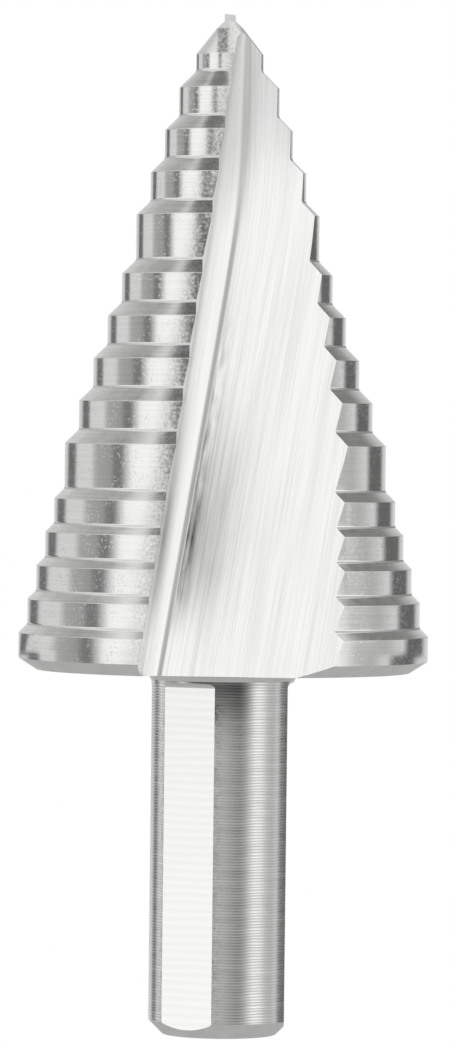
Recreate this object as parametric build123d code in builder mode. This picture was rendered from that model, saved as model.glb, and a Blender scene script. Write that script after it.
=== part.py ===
from build123d import *
from itertools import accumulate
from math import cos, hypot, radians, sin, tan
import os

# A two-flute step drill, ground from one piece of high-speed steel.
# The axis is Z, the origin is the middle of the shank's end face and the point is up.
# The front flute opens towards -Y, with its cutting edge on the -X side.

# ---- cutting steps, point to shank --------------------------------------------
starter_diameter = 4.7      # the first step, which drills the starting hole
first_rise = 2.3            # growth in diameter from the starter to the first coarse step
coarse_rise = 1.925         # from one coarse step to the next
coarse_steps = 9
change_rise = 1.4           # from the last coarse step to the first fine step
fine_rise = 1.19375         # from one fine step to the next, up to 1 1/8 in
fine_steps = 5
starter_land = 1.2          # lands are the straight stretches that size the hole
coarse_land = 2.0
fine_land = 1.75
stop_land = 3.15            # the longer land of the two steps that are read as stops
stop_steps = (4, 9)         # counted from the starter step, which is 0
foot_chamfer = 0.15         # left by the wheel's worn corner at the foot of every land

# ---- point ----------------------------------------------------------------------
lip_angle = 38.0            # half angle of the cone that carries the cutting lips
centre_angle = 46.0         # half angle of the blunter centre
centre_diameter = 1.86
centre_crown = 0.03         # how far the centre bulges from a straight cone
nib_width = 0.78            # square centring nib, as thick as the web
nib_height = 0.5
nib_slant = 7.0             # degrees, the slope of the nib's chisel edge

# ---- head underside and shank ----------------------------------------------------
shank_diameter = 9.9
shank_length = 25.4
end_chamfer = 1.0
end_crown = 0.08            # how far the end chamfer bulges
neck_chamfer = 0.5
rim_inset = 1.25            # radial width of the chamfer under the last step
rim_height = 0.8
flat_count = 3
flat_distance = 4.53        # from the axis to a flat
flat_stop = 0.75            # the flats end this far below the head

# ---- flutes -----------------------------------------------------------------------
flute_count = 2
web = 0.7                   # thickness left between the flutes at the point
floor_slope = 18.3          # degrees between the flute's floor and the axis
floor_skew = 8.3            # degrees, how far the floor turns out towards the heel
floor_start = 58.5          # height where the wheel's straight path would reach the web
path_blend = 4.0            # rounds the straight path into the path along the web
corner_offset = 1.15        # the flute's corner beside the axis, at the point
corner_lean = 9.4           # degrees, how far the corner leans from the axis
corner_radius = 0.3
point_edge_angle = 8.5      # degrees past the front, where the cutting edge meets the first step
foot_edge_angle = 22.5      # degrees before the front, where it meets the last step
hook_angle = 11.5           # degrees that the wall undercuts the cutting edge
flute_sections = 7
flute_overrun = 1.0         # the cut runs past the head's underside
flute_reach = 30.0          # past the widest step

os.makedirs("parts", exist_ok=True)

# ---- step radii and land lengths, point to shank -------------------------------------
rises = [starter_diameter, first_rise]
rises += [coarse_rise] * (coarse_steps - 1)
rises += [change_rise]
rises += [fine_rise] * (fine_steps - 1)
radii = [diameter / 2 for diameter in accumulate(rises)]
lands = [starter_land] + [coarse_land] * coarse_steps + [fine_land] * fine_steps
for number in stop_steps:
    lands[number] = stop_land

# ---- heights that follow, from the shank upwards ---------------------------------------
head_foot = shank_length
shoulders = [rise / 2 for rise in rises]               # at 45 degrees, as high as they are wide
land_feet = [0.0] * len(radii)
land_tops = [0.0] * len(radii)
height = head_foot + rim_height
for number in reversed(range(len(radii))):
    land_feet[number] = height
    land_tops[number] = height + lands[number]
    height = land_tops[number] + shoulders[number]
centre_radius = centre_diameter / 2
nib_half = nib_width / 2
centre_foot = land_tops[0] + (radii[0] - centre_radius) / tan(radians(lip_angle))
nib_foot = centre_foot + (centre_radius - nib_half) / tan(radians(centre_angle))
nib_top = nib_foot + nib_height

# ---- the cutting edge, straight from the first step to the last -------------------------
point_edge = Vector(0, -radii[0]).rotate(Axis.Z, point_edge_angle)
foot_edge = Vector(0, -radii[-1]).rotate(Axis.Z, -foot_edge_angle)


def flute_points(z):
    """The front flute's bottom corner, and its cutting edge, at height z."""
    run = floor_start - z
    travel = (run + hypot(run, path_blend)) / 2        # along the wheel's path from the web
    corner_x = corner_offset - travel * tan(radians(corner_lean))
    corner_y = -web / 2 - travel * tan(radians(floor_slope)) - corner_x * tan(radians(floor_skew))
    share = (land_tops[0] - z) / (land_tops[0] - land_tops[-1])
    edge = point_edge + (foot_edge - point_edge) * share
    return Vector(corner_x, corner_y), edge


# ---- the turned blank ---------------------------------------------------------------------
with BuildPart() as blank:
    with BuildSketch(Plane.XZ) as profile:
        with BuildLine():
            shank_radius = shank_diameter / 2
            outline = [(shank_radius, end_chamfer), (shank_radius, head_foot)]
            outline += [(radii[-1] - rim_inset, head_foot)]
            for number in reversed(range(len(radii))):
                outline += [(radii[number], land_feet[number]), (radii[number], land_tops[number])]
            outline += [(centre_radius, centre_foot)]
            Polyline(*outline)
            SagittaArc((centre_radius, centre_foot), (nib_half, nib_foot), centre_crown)
            Polyline((nib_half, nib_foot), (0, nib_foot), (0, 0), (shank_radius - end_chamfer, 0))
            SagittaArc((shank_radius - end_chamfer, 0), (shank_radius, end_chamfer), end_crown)
        make_face()
        corners = profile.vertices()
        feet = list(zip(radii[:-1], land_feet))
        chamfer([corners.sort_by_distance(foot)[0] for foot in feet], foot_chamfer)
        chamfer(profile.vertices().sort_by_distance((shank_radius, head_foot))[0], neck_chamfer)
    revolve(axis=Axis.Z)

# ---- the space that the wheel grinds out of one side --------------------------------------
with BuildPart() as flute:
    lowest = head_foot - flute_overrun
    spacing = (nib_top - lowest) / (flute_sections - 1)
    outward = Vector(sin(radians(hook_angle)), -cos(radians(hook_angle)))
    along_floor = Vector(cos(radians(floor_skew)), -sin(radians(floor_skew)))
    for number in range(flute_sections):
        z = lowest + number * spacing
        corner, edge = flute_points(z)
        with BuildSketch(Plane.XY.offset(z)) as section:
            with BuildLine():
                far_floor = corner + along_floor * flute_reach
                far_wall = edge + outward * flute_reach
                Polyline(corner, far_floor, far_floor + outward * flute_reach, far_wall, edge)
                TangentArc(edge, corner, tangent=outward * -1)
            make_face()
            fillet(section.vertices().sort_by_distance(corner)[0], corner_radius)
    loft()

# ---- the drill -----------------------------------------------------------------------------
with BuildPart() as step_drill:
    add(blank.part)
    with PolarLocations(0, flute_count):
        add(flute.part, mode=Mode.SUBTRACT)
    with BuildSketch() as flats:
        with PolarLocations(flat_distance, flat_count):
            Rectangle(shank_diameter, shank_diameter, align=(Align.MIN, Align.CENTER))
    extrude(amount=head_foot - flat_stop, mode=Mode.SUBTRACT)
    with BuildSketch(Plane.XZ) as nib:
        with BuildLine():
            drop = nib_width * tan(radians(nib_slant))
            Polyline(
                (-nib_half, centre_foot),
                (-nib_half, nib_top),
                (nib_half, nib_top - drop),
                (nib_half, centre_foot),
                close=True,
            )
        make_face()
    extrude(amount=nib_half, both=True)

step_drill.part.label = "step_drill"
export_step(step_drill.part, "parts/step_drill.step")
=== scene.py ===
import bpy
from math import atan, atan2, cos, hypot, pi, radians, sin, tan
from mathutils import Matrix, Vector


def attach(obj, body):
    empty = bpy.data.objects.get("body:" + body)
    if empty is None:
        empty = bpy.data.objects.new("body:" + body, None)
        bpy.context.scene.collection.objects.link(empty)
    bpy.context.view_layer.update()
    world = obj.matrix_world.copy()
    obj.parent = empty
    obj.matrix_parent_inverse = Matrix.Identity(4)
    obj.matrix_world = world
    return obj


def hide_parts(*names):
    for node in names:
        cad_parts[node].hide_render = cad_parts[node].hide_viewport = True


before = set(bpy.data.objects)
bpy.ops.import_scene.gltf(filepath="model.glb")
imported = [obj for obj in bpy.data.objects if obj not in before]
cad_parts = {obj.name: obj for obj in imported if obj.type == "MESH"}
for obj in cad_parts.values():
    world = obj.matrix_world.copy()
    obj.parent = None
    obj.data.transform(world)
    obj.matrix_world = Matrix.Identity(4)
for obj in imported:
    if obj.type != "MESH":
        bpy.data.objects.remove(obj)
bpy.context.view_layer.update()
for name in ("Cube", "Camera", "Light"):                      # the empty scene's own objects
    if name in bpy.data.objects:
        bpy.data.objects.remove(bpy.data.objects[name])
MM = 0.001

# ---- sizes of the drill, in millimetres, as its solid has them -----------------------------------
RISES = [4.7, 2.3] + [1.925] * 8 + [1.4] + [1.19375] * 4     # growth in diameter, point to shank
RADII = [sum(RISES[:count + 1]) / 2 for count in range(len(RISES))]
LANDS = [1.2] + [2.0] * 9 + [1.75] * 5
LANDS[4] = LANDS[9] = 3.15                                   # the two stop steps
LIP_ANGLE = radians(38.0)
CENTRE_ANGLE = radians(46.0)
CENTRE_RADIUS = 0.93
NIB_HALF = 0.39
NIB_HEIGHT = 0.5
NIB_SLANT = radians(7.0)
SHANK_RADIUS = 4.95
SHANK_LENGTH = 25.4
END_CHAMFER = 1.0
RIM_INSET = 1.25
RIM_HEIGHT = 0.8
FLATS = 3
FLAT_DISTANCE = 4.53
FLAT_STOP = 0.75

# ---- the rounds that wheels, tools and wear leave --------------------------------------------------
FOOT_ROUND = 0.15                                            # at the foot of a land
TOP_ROUND = 0.03                                             # at the worn corner of a land
NECK_ROUND = 1.1                                             # where the shank meets the head
CHAMFER_ROUND = 0.12                                         # on both edges of the end chamfer
LIP_ROUND = 0.05                                             # where the lip meets the centre
FLAT_NOSE = 0.35                                             # of the cutter that mills the flats

# ---- the flute -------------------------------------------------------------------------------------
WEB = 0.7                                                    # the steel left between the two floors
FLOOR_SLOPE = radians(18.3)                                  # outwards, going down
FLOOR_SKEW = radians(8.3)                                    # across the floor
FLOOR_START = 58.5                                           # the height where the slope starts
PATH_BLEND = 4.0                                             # how softly it starts
CORNER_OFFSET = 1.15                                         # the corner's place across, at the point
CORNER_LEAN = radians(9.4)                                   # how it leans across, going down
CORNER_ROUND = 0.3
POINT_EDGE = radians(8.5)                                    # the cutting edge's way round at the point
FOOT_EDGE = radians(-22.5)                                   # and at the largest step
HOOK = radians(11.5)                                         # the way that the wall leaves the edge

# ---- how far the cutting tools reach ---------------------------------------------------------------
FLUTE_REACH = 30.0
FLAT_REACH = 6.0
OVERRUN = 1.0                                                # past the end of what they cut

# ---- heights that follow ---------------------------------------------------------------------------
feet, tops = [0.0] * len(RADII), [0.0] * len(RADII)
height = SHANK_LENGTH + RIM_HEIGHT
for step in reversed(range(len(RADII))):
    feet[step] = height
    tops[step] = height + LANDS[step]
    height = tops[step] + RISES[step] / 2
centre_foot = tops[0] + (RADII[0] - CENTRE_RADIUS) / tan(LIP_ANGLE)
nib_foot = centre_foot + (CENTRE_RADIUS - NIB_HALF) / tan(CENTRE_ANGLE)
nib_top = nib_foot + NIB_HEIGHT

# ---- how fine the mesh is --------------------------------------------------------------------------
SPIN_STEPS = 240
ROUND_POINTS = 4
NOSE_POINTS = 6
FLUTE_SECTIONS = 56
WALL_POINTS = 14
CORNER_POINTS = 6
SMOOTH_ANGLE = radians(16)
WELD = 0.001                                                 # points this near become one
FINE_WELD = 0.0001                                           # the same, between closer points
STRAIGHT = 0.002                                             # how far off its edge a spare point lies
TOUCHING = 0.01                                              # how far off a face an edge still is on it


# ---- modelling by hand -----------------------------------------------------------------------------
def alone(piece):
    """Selects one object and nothing else."""
    bpy.ops.object.select_all(action="DESELECT")
    piece.select_set(True)
    bpy.context.view_layer.objects.active = piece


def new_piece(name):
    """An empty mesh object, left in edit mode."""
    bpy.ops.object.select_all(action="DESELECT")
    bpy.ops.mesh.primitive_plane_add(size=MM)
    piece = bpy.context.object
    piece.name = piece.data.name = name
    bpy.ops.object.mode_set(mode="EDIT")
    bpy.ops.mesh.select_all(action="SELECT")
    bpy.ops.mesh.delete(type="VERT")
    return piece


def draw(places):
    """Puts down one vertex and extrudes it from place to place."""
    bpy.ops.mesh.primitive_plane_add(size=MM, location=Vector(places[0]) * MM)
    bpy.ops.mesh.merge(type="CENTER")
    for start, end in zip(places, places[1:]):
        move = (Vector(end) - Vector(start)) * MM
        bpy.ops.mesh.extrude_region_move(TRANSFORM_OT_translate={"value": move})


def finish_mesh(weld=WELD):
    """Merges doubles, turns every face outwards and leaves edit mode."""
    bpy.ops.mesh.select_all(action="SELECT")
    bpy.ops.mesh.remove_doubles(threshold=weld * MM)
    bpy.ops.mesh.normals_make_consistent(inside=False)
    bpy.ops.object.mode_set(mode="OBJECT")


def cut(piece, tool, operation="DIFFERENCE"):
    """Cuts a tool's shape out of the piece, or adds it, and deletes the tool."""
    alone(piece)
    modifier = piece.modifiers.new("cut", "BOOLEAN")
    modifier.operation = operation
    modifier.solver = "EXACT"
    modifier.object = tool
    bpy.ops.object.modifier_apply(modifier=modifier.name)
    bpy.data.objects.remove(tool)


def arc(start, corner, end, count):
    """Points of a round from start to end whose tangents meet at the corner."""
    start, corner, end = Vector(start), Vector(corner), Vector(end)
    shares = [index / count for index in range(count + 1)]
    return [(1 - t) ** 2 * start + 2 * t * (1 - t) * corner + t ** 2 * end for t in shares]


def rounded(outline, rounds):
    """The outline with each corner that has a round drawn as an arc."""
    places = [Vector(outline[0])]
    for before, corner, after, size in zip(outline, outline[1:], outline[2:], rounds[1:]):
        before, corner, after = Vector(before), Vector(corner), Vector(after)
        if size:
            start = corner + (before - corner).normalized() * size
            end = corner + (after - corner).normalized() * size
            places += arc(start, corner, end, ROUND_POINTS)
        else:
            places.append(corner)
    return places + [Vector(outline[-1])]


# ---- the turned blank ------------------------------------------------------------------------------
def turned_blank():
    """The drill as it leaves the lathe: its outline, from the end of the shank up, spun round."""
    outline = [
        (0, 0), (SHANK_RADIUS - END_CHAMFER, 0), (SHANK_RADIUS, END_CHAMFER),
        (SHANK_RADIUS, SHANK_LENGTH), (RADII[-1] - RIM_INSET, SHANK_LENGTH)]
    rounds = [0, CHAMFER_ROUND, CHAMFER_ROUND, NECK_ROUND, TOP_ROUND]
    for step in reversed(range(len(RADII))):
        outline += [(RADII[step], feet[step]), (RADII[step], tops[step])]
        rounds += [FOOT_ROUND if step < len(RADII) - 1 else TOP_ROUND, TOP_ROUND]
    outline += [(CENTRE_RADIUS, centre_foot), (NIB_HALF, nib_foot), (0, nib_foot)]
    rounds += [LIP_ROUND, 0, 0]
    blank = new_piece("drill_body")
    draw([(x, 0, z) for x, z in rounded(outline, rounds)])
    bpy.ops.mesh.select_all(action="SELECT")
    bpy.ops.mesh.spin(steps=SPIN_STEPS, angle=2 * pi, center=(0, 0, 0), axis=(0, 0, 1))
    finish_mesh()
    return blank


# ---- the flutes ------------------------------------------------------------------------------------
def round_from_front(radius, angle):
    """The point (x, y) at a radius and an angle round from the front."""
    return Vector((sin(angle) * radius, -cos(angle) * radius))


EDGE_AT_POINT = round_from_front(RADII[0], POINT_EDGE)
EDGE_AT_FOOT = round_from_front(RADII[-1], FOOT_EDGE)


def cutting_edge(z):
    """The point where the wall of the flute starts at height z."""
    return EDGE_AT_POINT.lerp(EDGE_AT_FOOT, (tops[0] - z) / (tops[0] - tops[-1]))


def floor_corner(z):
    """The point where the wall meets the floor at height z: the wheel runs level, then slopes out."""
    run = FLOOR_START - z
    travel = (run + hypot(run, PATH_BLEND)) / 2
    x = CORNER_OFFSET - travel * tan(CORNER_LEAN)
    return Vector((x, -WEB / 2 - travel * tan(FLOOR_SLOPE) - x * tan(FLOOR_SKEW)))


def hooked_wall(edge, corner, outward):
    """The arc that leaves the edge against the way outward and ends short of the corner."""
    side = Vector((outward.y, -outward.x))
    chord = corner - edge
    radius = chord.length_squared / (2 * chord.dot(side))
    centre = edge + side * radius
    spoke, last_spoke = edge - centre, corner - centre
    sweep = atan2(spoke.cross(last_spoke), spoke.dot(last_spoke))
    sweep *= 1 - CORNER_ROUND / abs(radius * sweep)
    turns = [sweep * index / WALL_POINTS for index in range(WALL_POINTS + 1)]
    return [centre + Matrix.Rotation(turn, 2) @ spoke for turn in turns]


def flute_section(z):
    """The outline at height z of the space that the wheel grinds out."""
    edge, corner = cutting_edge(z), floor_corner(z)
    outward = Vector((sin(HOOK), -cos(HOOK)))
    along_floor = Vector((cos(FLOOR_SKEW), -sin(FLOOR_SKEW)))
    wall = hooked_wall(edge, corner, outward)
    places = wall[:-1] + arc(wall[-1], corner, corner + along_floor * CORNER_ROUND, CORNER_POINTS)
    far_floor = corner + along_floor * FLUTE_REACH
    places += [far_floor, far_floor + outward * FLUTE_REACH, edge + outward * FLUTE_REACH]
    return [(place.x, place.y, z) for place in places]


def flute_tool():
    """The space of the front flute as a closed solid."""
    tool = new_piece("flute_tool")
    lowest = SHANK_LENGTH - OVERRUN
    for count in range(FLUTE_SECTIONS + 1):
        section = flute_section(lowest + (nib_top - lowest) * count / FLUTE_SECTIONS)
        draw(section + section[:1])
    bpy.ops.mesh.select_all(action="SELECT")
    bpy.ops.mesh.remove_doubles(threshold=FINE_WELD * MM)
    bpy.ops.mesh.bridge_edge_loops()
    bpy.ops.mesh.select_all(action="SELECT")
    bpy.ops.mesh.fill_holes(sides=0)
    finish_mesh()
    return tool


def opposite_copy(tool):
    """A copy with its own mesh, half a turn round the axis."""
    alone(tool)
    bpy.ops.object.duplicate()
    bpy.ops.transform.rotate(value=pi, orient_axis="Z", center_override=(0, 0, 0))
    bpy.ops.object.transform_apply()
    return bpy.context.object


# ---- flats and nib ---------------------------------------------------------------------------------
def block(low, high, turn=0.0, nose=0.0):
    """A box between two corners, its top inner edge rounded, turned round the axis."""
    low, high = Vector(low) * MM, Vector(high) * MM
    bpy.ops.object.select_all(action="DESELECT")
    bpy.ops.mesh.primitive_cube_add(size=1, location=(low + high) / 2)
    box = bpy.context.object
    box.scale = high - low
    bpy.ops.object.transform_apply()
    if nose:
        inner, top = low.x + TOUCHING * MM, high.z - TOUCHING * MM
        for edge in box.data.edges:
            ends = [box.data.vertices[index].co for index in edge.vertices]
            edge.select = all(end.x < inner and end.z > top for end in ends)
        bpy.ops.object.mode_set(mode="EDIT")
        bpy.ops.mesh.bevel(offset=nose * MM, segments=NOSE_POINTS)
        bpy.ops.object.mode_set(mode="OBJECT")
    bpy.ops.transform.rotate(value=-turn, orient_axis="Z", center_override=(0, 0, 0))
    bpy.ops.object.transform_apply()
    return box


def centring_nib():
    """The small square nib, its top slanted down to one side."""
    nib = block((-NIB_HALF, -NIB_HALF, centre_foot), (NIB_HALF, NIB_HALF, nib_top))
    bpy.ops.object.mode_set(mode="EDIT")
    bpy.ops.mesh.select_all(action="DESELECT")
    bpy.ops.object.mode_set(mode="OBJECT")
    for vertex in nib.data.vertices:
        vertex.select = vertex.co.x > 0 and vertex.co.z > nib_foot * MM
    bpy.ops.object.mode_set(mode="EDIT")
    bpy.ops.transform.translate(value=(0, 0, -2 * NIB_HALF * tan(NIB_SLANT) * MM))
    bpy.ops.object.mode_set(mode="OBJECT")
    return nib


# ---- the drill -------------------------------------------------------------------------------------
def drop_spare_points(piece):
    """Dissolves points that lie along one straight edge and join nothing else."""
    alone(piece)
    bpy.ops.object.mode_set(mode="EDIT")
    bpy.ops.mesh.select_mode(type="VERT")
    bpy.ops.mesh.select_all(action="DESELECT")
    bpy.ops.object.mode_set(mode="OBJECT")
    places = [point.co.copy() for point in piece.data.vertices]
    joined = [[] for _ in places]
    for edge in piece.data.edges:
        start, end = edge.vertices
        joined[start].append(places[end])
        joined[end].append(places[start])
    for point, place, ends in zip(piece.data.vertices, places, joined):
        if len(ends) == 2:
            along = (ends[1] - ends[0]).normalized()
            point.select = (place - ends[0]).cross(along).length < STRAIGHT * MM
    bpy.ops.object.mode_set(mode="EDIT")
    bpy.ops.mesh.dissolve_verts()
    bpy.ops.object.mode_set(mode="OBJECT")


def drill_body():
    """The turned blank with its flutes ground, its flats milled and its nib on top."""
    body = turned_blank()
    tool = flute_tool()
    other = opposite_copy(tool)
    cut(body, tool)
    cut(body, other)
    low = (FLAT_DISTANCE, -FLAT_REACH, -OVERRUN)
    high = (FLAT_DISTANCE + FLAT_REACH, FLAT_REACH, SHANK_LENGTH - FLAT_STOP)
    for turn in range(FLATS):
        cut(body, block(low, high, turn * 2 * pi / FLATS, FLAT_NOSE))
    cut(body, centring_nib(), "UNION")
    alone(body)
    bpy.ops.object.mode_set(mode="EDIT")
    finish_mesh(FINE_WELD)
    drop_spare_points(body)
    bpy.ops.object.shade_smooth_by_angle(angle=SMOOTH_ANGLE)
    return body


# ---- shader maths ----------------------------------------------------------------------------------
STEEL_BLUE = 0.985                            # blue against red and green, as steel is faintly warm


class Wire:
    """A shader's output socket that Python's operators can do sums on."""

    def __init__(self, tree, socket):
        self.tree = tree
        self.socket = socket

    def maths(self, operation, *others):
        """This value, with any others after it, through a Math node."""
        return math_node(self.tree, operation, self, *others)

    def __add__(self, other):
        return self.maths("ADD", other)

    def __sub__(self, other):
        return self.maths("SUBTRACT", other)

    def __rsub__(self, other):
        return math_node(self.tree, "SUBTRACT", other, self)

    def __mul__(self, other):
        return self.maths("MULTIPLY", other)

    def __truediv__(self, other):
        return self.maths("DIVIDE", other)

    def __neg__(self):
        return 0 - self

    __radd__ = __add__
    __rmul__ = __mul__


def add_node(tree, kind, settings=None, inputs=None, output=0):
    """Makes one node, sets it, wires or fills its inputs, and returns one of its outputs."""
    node = tree.nodes.new(kind)
    for name, value in (settings or {}).items():
        if name == "stops":
            stops = node.color_ramp.elements
            while len(stops) < len(value):
                stops.new(1.0)
            for stop, (place, colour) in zip(stops, value):
                stop.position = place
                stop.color = colour
        else:
            setattr(node, name, value)
    for name, value in (inputs or {}).items():
        if isinstance(value, Wire):
            tree.links.new(value.socket, node.inputs[name])
        else:
            node.inputs[name].default_value = value
    return Wire(tree, node.outputs[output]) if len(node.outputs) else None


def math_node(tree, operation, *values):
    return add_node(tree, "ShaderNodeMath", {"operation": operation}, dict(enumerate(values)))


def grey(value):
    return (value, value, value, 1.0)


def ramp(value, ends, low=0.0, high=1.0):
    """Goes softly from low to high while the value goes from one end to the other."""
    return add_node(value.tree, "ShaderNodeMapRange", {"interpolation_type": "SMOOTHSTEP"}, {
        "Value": value, "From Min": ends[0], "From Max": ends[1], "To Min": low, "To Max": high})


def zone(length, ends, low=0.0, high=1.0):
    """A ramp over a length in metres, its ends given in millimetres."""
    return ramp(length, [end * MM for end in ends], low, high)


def noise(place, scale, detail=2.0):
    """Grain about zero, as fine as its scale along x, y and z, in 1/m."""
    stretched = add_node(place.tree, "ShaderNodeVectorMath", {"operation": "MULTIPLY"}, {0: place, 1: scale})
    grain = add_node(place.tree, "ShaderNodeTexNoise", None, {
        "Vector": stretched, "Scale": 1.0, "Detail": detail})
    return grain - 0.5


def parts(place):
    """The three coordinates of a place."""
    x = add_node(place.tree, "ShaderNodeSeparateXYZ", None, {0: place})
    return [Wire(place.tree, output) for output in x.socket.node.outputs]


def bare_steel(finish):
    """A steel whose finish gives its tone, roughness and height (in metres) at a place."""
    material = bpy.data.materials.new(finish.__name__)
    material.use_nodes = True
    tree = material.node_tree
    tree.nodes.clear()
    place = add_node(tree, "ShaderNodeTexCoord", output="Object")
    tone, rough, height = finish(place)
    warm = add_node(tree, "ShaderNodeCombineColor", None, {
        "Red": tone, "Green": tone, "Blue": tone * STEEL_BLUE})
    bump = add_node(tree, "ShaderNodeBump", None, {"Height": height, "Distance": 1.0, "Strength": 1.0})
    surface = add_node(tree, "ShaderNodeBsdfPrincipled", None, {
        "Base Color": warm, "Metallic": 1.0, "Roughness": rough, "Normal": bump})
    add_node(tree, "ShaderNodeOutputMaterial", None, {"Surface": surface})
    return material


# ---- places on the drill that the finishes go by ---------------------------------------------------
PATH_X = tan(CORNER_LEAN)                     # how far the wheel moves across for each metre down
PATH_Y = tan(FLOOR_SLOPE) - tan(CORNER_LEAN) * tan(FLOOR_SKEW)        # and how far out
EDGE_LEAN = (EDGE_AT_POINT.x - EDGE_AT_FOOT.x) / (tops[0] - tops[-1])


def front_side(x, y):
    """The x that a place has, or that it would have half a turn on if it lies at the back."""
    return -(x * y.maths("SIGN"))


def along_wheel(place):
    """The place measured across the grinding wheel's path (x), into the steel (y) and along (z)."""
    x, y, z = parts(place)
    front = -y.maths("SIGN")
    run = FLOOR_START * MM - z
    travel = (run + (run * run + (PATH_BLEND * MM) ** 2).maths("SQRT")) / 2
    across = front * x + travel * PATH_X
    depth = front * y + travel * PATH_Y
    return add_node(place.tree, "ShaderNodeCombineXYZ", None, {0: across, 1: depth, 2: z})


# ---- finishes of the lands and shoulders -----------------------------------------------------------
# A pair is where a change starts and ends: in millimetres up from the end of the shank, or as it says.
SCUFFS_START = (-0.6, 0.0)                    # back from the cutting edge
SCUFFS_END = (0.0, 1.8)                       # back from the cutting edge
SCUFFS_GROW = (26.0, 42.0)
SCUFFS_WANE = (60.0, 68.0)
PITTED = (0.09, 0.16)                         # how strong a speck has to be to leave a pit
PITS_GATHER = (-0.04, 0.12)                   # the same, for a patch of pits
LIP_STARTS = (tops[0], tops[0] + 0.1)
# where the strip of painted dark reflection across the lip starts and ends
LIP_SHADE_START = (-1.0, -0.7)                      # across the lip
LIP_SHADE_END = (-0.3, 0.0)                         # across the lip
# painted shade on the rounds at the foot of the lands: where it fades out going up, and where it deepens
# across
FOOT_SHADE_ENDS = (67.5, 69.5)
FOOT_SHADE_DEEPENS = (2.0, 4.0)                   # across the lands


def scuffs(place):
    """How much chips have scuffed a place beside the cutting edge, and the specks they left."""
    x, y, z = parts(place)
    from_edge = EDGE_AT_POINT.x * MM - (tops[0] * MM - z) * EDGE_LEAN - front_side(x, y)
    worn = zone(from_edge, SCUFFS_START) * zone(from_edge, SCUFFS_END, 1.0, 0.0)
    worn = worn * zone(z, SCUFFS_GROW, 0.5, 1.0) * zone(z, SCUFFS_WANE, 1.0, 0.5)
    return worn, noise(place, (5000, 5000, 5000), 3.0)


def turned_land(place):
    """Fine turning lines, small pits, chip scuffs beside the cutting edge, and a lighter lip with a strip of
    painted dark reflection across it.
    """
    x, y, z = parts(place)
    worn, specks = scuffs(place)
    lines = noise(place, (120, 120, 9000))
    pits = ramp(specks, PITTED) * ramp(noise(place, (500, 500, 500)), PITS_GATHER, 0.25, 1.0)
    lip = zone(z, LIP_STARTS)
    across = front_side(x, y)
    # a strip of painted dark reflection across the lip, broken up by specks
    marks_and_painted_shade = lip * zone(across, LIP_SHADE_START) * zone(across, LIP_SHADE_END, 1.0, 0.0)
    tone = 0.86 + lines * 0.16 + specks * worn * 1.2 - worn * 0.34 + lip * (0.1 + worn * 0.24)
    tone = tone - marks_and_painted_shade * (0.45 - specks * 1.2)
    rough = 0.10 + worn * 0.08 + lines * 0.08 + lip * 0.28
    return tone, rough, lines * 0.4e-6 + specks * worn * 4e-6 + pits * 5e-6


def ground_shoulder(place):
    """Grinding lines round the cone of a shoulder, mottled and scuffed."""
    worn, specks = scuffs(place)
    lines = noise(place, (200, 200, 9000))
    mottle = noise(place, (900, 900, 900))
    tone = 0.84 + lines * 0.3 + mottle * 0.25 + specks * worn * 0.8 - worn * 0.2
    return tone, 0.18 + mottle * 0.2, lines * 2e-6


def satin_round(place):
    """The duller steel of the centre and of the rounds at the foot of the lands, the rounds darkened by
    painted shade, more to one side.
    """
    x, y, z = parts(place)
    mottle = noise(place, (2500, 2500, 2500))
    # painted shade on the rounds at the foot of the lands, deeper to one side
    foot_painted_shade = zone(z, FOOT_SHADE_ENDS, 1.0, 0.0) * (0.2 + zone(front_side(x, y), FOOT_SHADE_DEEPENS, 0.0, 0.22))
    return 0.98 - foot_painted_shade + mottle * 0.12, 0.5 + mottle * 0.1, mottle * 4e-6


# ---- finishes of the flutes ------------------------------------------------------------------------
# painted light: the floor's tone rises towards the point
FLOOR_PAINTED_LIGHTER = (48.0, 62.0)
MARKS_FAINTER = (45.0, 60.0)
NEAR_POINT = (54.0, 63.0)
# where the patch of painted shade low beside the corner starts and ends, and where the scratched strip with
# painted shade ends
PATCH_STARTS = (27.0, 33.0)
PATCH_ENDS = (35.0, 47.0)
SCRATCHED_SHADE_ENDS = (44.0, 54.0)
BESIDE_CORNER = (-1.0, 6.0)                   # across the floor from its corner, as the next ones
SCRATCHED_SHADE_WIDTH = (0.0, 1.5)
# how far the painted shade along the corner near the point reaches
CORNER_SHADE_WIDTH = (0.1, 1.1)
DULL_WIDTH = (0.2, 0.7)


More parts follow.
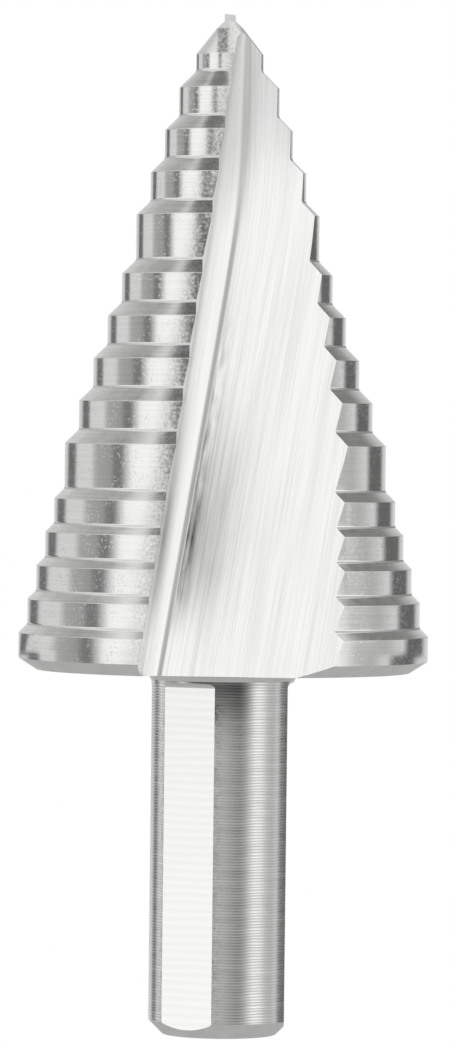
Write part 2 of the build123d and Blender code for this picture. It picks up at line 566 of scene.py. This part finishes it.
def ground_flute(place):
    """The floor of the flute: long wheel marks and scratches, painted shade low beside the corner and along
    it near the point, and painted light towards the point.
    """
    course = along_wheel(place)
    across, _, z = parts(course)
    from_corner = across - CORNER_OFFSET * MM
    fine = noise(course, (9000, 600, 120)) * zone(z, MARKS_FAINTER, 1.0, 0.7)
    broad = noise(course, (1600, 300, 70), 1.0)
    cloud = noise(course, (500, 500, 160))
    scratch = noise(course, (3000, 3000, 500), 3.0)
    beside = zone(from_corner, BESIDE_CORNER, 1.0, 0.0)
    # a patch of painted shade low beside the corner
    patch = beside * zone(z, PATCH_STARTS) * zone(z, PATCH_ENDS, 1.0, 0.0)
    # scratches beside the corner, with painted shade under them
    marks_and_painted_shade = zone(z, PATCH_STARTS) * zone(z, SCRATCHED_SHADE_ENDS, 1.0, 0.0)
    marks_and_painted_shade = marks_and_painted_shade * zone(from_corner, SCRATCHED_SHADE_WIDTH, 1.0, 0.0)
    point = zone(z, NEAR_POINT)
    # the floor painted lighter towards the point
    tone = zone(z, FLOOR_PAINTED_LIGHTER, 0.92, 0.96) + fine * (0.34 + beside * 0.3) + broad * 0.2
    tone = tone - patch * (0.32 + cloud * 0.6) + marks_and_painted_shade * (scratch * 1.4 - 0.2)
    # painted shade along the corner near the point
    tone = tone - point * zone(from_corner, CORNER_SHADE_WIDTH, 0.18, 0.0)
    rough = 0.26 + fine * 0.1 + patch * 0.2 + point * zone(from_corner, DULL_WIDTH, 0.2, 0.0)
    return tone, rough, fine * 3e-6


def ground_wall(place):
    """The hooked wall of the flute: wheel marks, duller near the point."""
    course = along_wheel(place)
    z = parts(course)[2]
    fine = noise(course, (700, 5000, 120))
    return 0.87 + fine * 0.2, 0.24 + fine * 0.1 + zone(z, NEAR_POINT, 0.0, 0.2), fine * 3e-6


# ---- finishes of the shank -------------------------------------------------------------------------
RIDGE_PITCH = 0.2                             # the lathe's feed
CUTTER_PITCH = 0.56                           # the milling cutter's feed
# painted shade below the head: where it deepens going up, and where it starts and ends across the neck
NECK_DARKENS = (20.5, 24.3)
DARK_STARTS = (-3.0, -2.0)                    # across the neck
DARK_ENDS = (1.0, 2.6)                        # across the neck
WEAR_STARTS = (FLAT_DISTANCE - 0.4, FLAT_DISTANCE)      # out from the axis, towards a flat
WEAR_ENDS = (23.0, 23.5)


def turned_shank(place):
    """Even turning ridges, painted shade below the head, and worn beside the flats."""
    x, y, z = parts(place)
    wander = noise(place, (300, 300, 2500), 3.0)
    specks = noise(place, (4000, 4000, 4000), 3.0)
    ridges = (z * (2 * pi / (RIDGE_PITCH * MM)) + wander * 4.0).maths("SINE")
    # painted shade below the head, on the front of the neck
    shade = zone(z, NECK_DARKENS) * zone(x, DARK_STARTS) * zone(x, DARK_ENDS, 1.0, 0.0)
    turns = [turn * 2 * pi / FLATS for turn in range(FLATS)]
    outward = [x * cos(turn) + y * sin(turn) for turn in turns]
    nearest = outward[0]
    for other in outward[1:]:
        nearest = nearest.maths("MAXIMUM", other)
    wear = zone(nearest, WEAR_STARTS) * zone(z, WEAR_ENDS, 1.0, 0.0)
    tone = 0.85 + ridges * (0.08 + wander * 0.3) + wander * 0.3 - shade * 0.60
    tone = tone + wear * (specks * 0.8 - 0.08)
    return tone, 0.19 + wander * 0.1, ridges * 2e-6 + wander * 4e-6


def shank_flat(place):
    """Faint bowed marks of the milling cutter, side by side."""
    z = parts(place)[2]
    drift = noise(place, (150, 150, 300))
    marks = (z * (2 * pi / (CUTTER_PITCH * MM)) + drift * 6.0).maths("SINE")
    fine = noise(place, (150, 150, 6000))
    return 0.93 + marks * 0.02 + fine * 0.06, 0.17 + fine * 0.06, marks * 0.5e-6


def sawn_end(place):
    """Mottled steel on the end of the shank, its chamfer and the underside of the head."""
    mottle = noise(place, (900, 900, 900))
    return 0.84 + mottle * 0.2, 0.36 + mottle * 0.1, mottle * 20e-6


# ---- which face has which finish -------------------------------------------------------------------
FINISHES = [
    turned_land, ground_shoulder, satin_round, ground_flute, ground_wall, turned_shank, shank_flat, sawn_end]
LAND, SHOULDER, SATIN, FLUTE, WALL, SHANK, FLAT, END = range(len(FINISHES))
UNDER_SHANK, UNDER_HEAD = -0.3, -0.5          # a face that looks down by more than this is an end's
UPRIGHT = 0.1                                 # one that looks up by less than this is a land's
FOOT_LOOKS_UP = 0.55                          # and by less than this, a round's at the foot of a land
FLOOR_LOOKS = -0.05                           # one that looks further left, on the front, is a floor's
LEVEL = 0.02                                  # one that leans by less than this looks along the axis
STRAIGHT_OUT = 0.999                          # one that looks along its radius by this much was turned
TURNED_DEPTH = 0.15                           # how deep a turned face may lie under the turned outline
SHANK_DEPTH = 0.1                             # the same, on the shank


def turned_radius(z):
    """The radius that the head was turned to at height z."""
    if z > tops[0]:
        return RADII[0] - (z - tops[0]) * tan(LIP_ANGLE)
    step = next((step for step, foot in enumerate(feet) if z >= foot), len(feet) - 1)
    return RADII[step] - max(0.0, z - tops[step])


def looks_outward(place, normal):
    """Whether a face looks to neither side of its own radius, as turned faces do."""
    lean, spoke = normal.xy, place.xy
    return lean.length < LEVEL or abs(lean.normalized().dot(spoke.normalized())) > STRAIGHT_OUT


def finish_of(face):
    """Which finish a face has, from where it lies and which way it looks."""
    place, normal = face.center / MM, face.normal
    radius = hypot(place.x, place.y)
    turned = looks_outward(place, normal)
    if place.z < SHANK_LENGTH:
        if normal.z < UNDER_SHANK:
            return END
        return SHANK if turned and radius > SHANK_RADIUS - SHANK_DEPTH else FLAT
    if normal.z < UNDER_HEAD:
        return END
    if place.z > nib_foot or turned and place.z > centre_foot:
        return SATIN
    if turned and radius > turned_radius(place.z) - TURNED_DEPTH:
        if UPRIGHT < normal.z < FOOT_LOOKS_UP:
            return SATIN
        return LAND if abs(normal.z) < UPRIGHT or place.z > tops[0] else SHOULDER
    to_right = normal.x if place.y < 0 else -normal.x
    return FLUTE if to_right < FLOOR_LOOKS else WALL


body = drill_body()
for finish in FINISHES:
    body.data.materials.append(bare_steel(finish))
for face in body.data.polygons:
    face.material_index = finish_of(face)
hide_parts("step_drill")
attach(body, "root")

# ---- studio ----------------------------------------------------------------------------------------
# What the steel mirrors: cards and flags round the drill, as (degrees round from the camera's
# side, positive to the right, brightness). Heights below are those of a mirrored ray of length 1.
BANDS = [
    (-180, 0.70), (-161, 0.66), (-154, 0.16), (-143, 0.16), (-138, 0.70), (-114, 0.72), (-106, 0.42),
    (-90, 0.34), (-86, 0.2), (-80, 0.2), (-70, 1.0), (-46, 1.05), (-41, 0.80), (-36, 0.20), (-24, 0.20),
    (-16, 0.42), (-8, 0.48), (4, 0.44), (16, 0.31), (30, 0.17), (40, 0.34), (48, 0.72), (56, 1.10),
    (68, 0.99), (80, 0.55), (104, 0.47), (121, 0.72), (128, 0.14), (149, 0.14),
    (155, 0.5), (161, 0.68), (180, 0.70),
]
CARDS_ABOVE = [
    (-180, 0.68), (-160, 0.65), (-146, 0.54), (-119, 0.34), (-107, 0.98), (-3, 0.98), (6, 0.42), (46, 0.42),
    (52, 1.08), (112, 1.08), (120, 0.22), (150, 0.25), (160, 0.55), (180, 0.68),
]
CARD_EDGES = [(-180, 0.14), (-30, 0.14), (-22, 0.05), (94, 0.05), (100, 0.14), (180, 0.14)]  # heights
LOW_FILL = [(-180, 0.0), (-3, 0.0), (6, 0.40), (46, 0.40), (52, 0.0), (180, 0.0)]
CARDS_OVERHEAD = [(-180, 0.82), (-142, 0.82), (-134, 0.2), (-46, 0.2), (-36, 0.82), (180, 0.82)]
EDGE_SOFTNESS = (0.0, 0.02)                   # up from the edges of the cards above
FILL_ENDS = (0.2, 0.4)
OVERHEAD_STARTS = (0.88, 0.92)
TABLE_ENDS = (-0.3, -0.15)
TABLE = 0.46

# How far the flags behind the drill stand round from the plan above, in turns: the left one leans,
# by so much for each unit of height, and both stand further forward where the shank mirrors them.
LEFT_LEAN = 180 / 360
LEAN_TOP = 0.03
SHANK_LEFT = 14 / 360
SHANK_RIGHT = 16 / 360
HEAD_STARTS = (-0.060, -0.044)                # rays lower than this come off the shank
LEFT_FLAG_ENDS = (0.15, 0.21)                 # in turns
RIGHT_FLAG_STARTS = (0.72, 0.78)              # in turns

FLOOR_SIZE = 6                                # in metres


def card_ring(azimuth, cards):
    """The brightness of a ring of cards, by the way round."""
    stops = [(degree / 360 + 0.5, grey(bright / 2)) for degree, bright in cards]
    return add_node(azimuth.tree, "ShaderNodeValToRGB", {"stops": stops}, {"Fac": azimuth}) * 2


def studio():
    """Plain white light for everything but mirrored rays, which see the cards."""
    world = bpy.data.worlds.new("studio")
    bpy.context.scene.world = world
    world.use_nodes = True
    world.cycles.sampling_method = "NONE"
    tree = world.node_tree
    tree.nodes.clear()
    direction = add_node(tree, "ShaderNodeTexCoord", output="Generated")
    x, y, z = parts(direction)
    azimuth = x.maths("ARCTAN2", -y) / (2 * pi) + 0.5
    left, right = ramp(azimuth, LEFT_FLAG_ENDS, 1.0, 0.0), ramp(azimuth, RIGHT_FLAG_STARTS)
    head = ramp(z, HEAD_STARTS)
    left_turn = z.maths("MINIMUM", LEAN_TOP) * head * LEFT_LEAN + (1 - head) * SHANK_LEFT
    right_turn = (1 - head) * SHANK_RIGHT
    level = card_ring(azimuth - left * left_turn + right * right_turn, BANDS)
    table = ramp(z, TABLE_ENDS, 1.0, 0.0)
    level = level * (1 - table) + table * TABLE
    above = card_ring(azimuth, CARDS_ABOVE) + card_ring(azimuth, LOW_FILL) * ramp(z, FILL_ENDS, 1.0, 0.0)
    overhead = ramp(z, OVERHEAD_STARTS)
    above = above * (1 - overhead) + card_ring(azimuth, CARDS_OVERHEAD) * overhead
    raised = ramp(z - card_ring(azimuth, CARD_EDGES), EDGE_SOFTNESS)
    bright = level * (1 - raised) + above * raised
    glossy = add_node(tree, "ShaderNodeLightPath", output="Is Glossy Ray")
    strength = bright * glossy + (1 - glossy)
    background = add_node(tree, "ShaderNodeBackground", None, {"Color": grey(1), "Strength": strength})
    add_node(tree, "ShaderNodeOutputWorld", None, {"Surface": background})


def floor():
    """A white floor, which the camera sees without shade."""
    bpy.ops.object.select_all(action="DESELECT")
    bpy.ops.mesh.primitive_plane_add(size=FLOOR_SIZE)
    ground = bpy.context.object
    ground.name = "floor"
    ground.visible_glossy = False
    material = bpy.data.materials.new("pale_floor")
    material.use_nodes = True
    tree = material.node_tree
    tree.nodes.clear()
    paper = add_node(tree, "ShaderNodeBsdfDiffuse", None, {"Color": grey(1.0)})
    white = add_node(tree, "ShaderNodeEmission", None, {"Strength": 1.0})
    camera = add_node(tree, "ShaderNodeLightPath", output="Is Camera Ray")
    surface = add_node(tree, "ShaderNodeMixShader", None, {0: camera, 1: paper, 2: white})
    add_node(tree, "ShaderNodeOutputMaterial", None, {"Surface": surface})
    ground.data.materials.append(material)


# ---- camera ----------------------------------------------------------------------------------------
IMAGE_HEIGHT = 1049
MIDDLE_ROW = IMAGE_HEIGHT / 2
PIXELS_PER_MM = 14.32        # at the drill's axis
FOCAL_PIXELS = 6500.0
GROUND_ROW = 1034.5          # the row where the axis meets the ground
LEVEL_ROW = 425.0            # the row at the height of the camera
AXIS_COLUMN = 225.7
MIDDLE_COLUMN = 225.0
ROLL = radians(-0.66)
SENSOR_HEIGHT = 24           # in millimetres, as Blender counts it


def camera():
    """Sets the camera far in front of the drill, over half way up it, looking slightly down."""
    distance = FOCAL_PIXELS / PIXELS_PER_MM * MM
    level = (GROUND_ROW - LEVEL_ROW) / PIXELS_PER_MM * MM
    aim = (GROUND_ROW - MIDDLE_ROW) / PIXELS_PER_MM * MM
    aside = (MIDDLE_COLUMN - AXIS_COLUMN) / PIXELS_PER_MM * MM
    tilt = pi / 2 - atan((level - aim) / distance)
    bpy.ops.object.camera_add(location=(aside, -distance, level), rotation=(tilt, ROLL, 0))
    viewer = bpy.context.object
    viewer.data.sensor_fit = "VERTICAL"
    viewer.data.sensor_height = SENSOR_HEIGHT
    viewer.data.lens = SENSOR_HEIGHT * FOCAL_PIXELS / IMAGE_HEIGHT
    bpy.context.scene.camera = viewer


studio()
floor()
camera()
bpy.context.scene.view_settings.view_transform = "Standard"
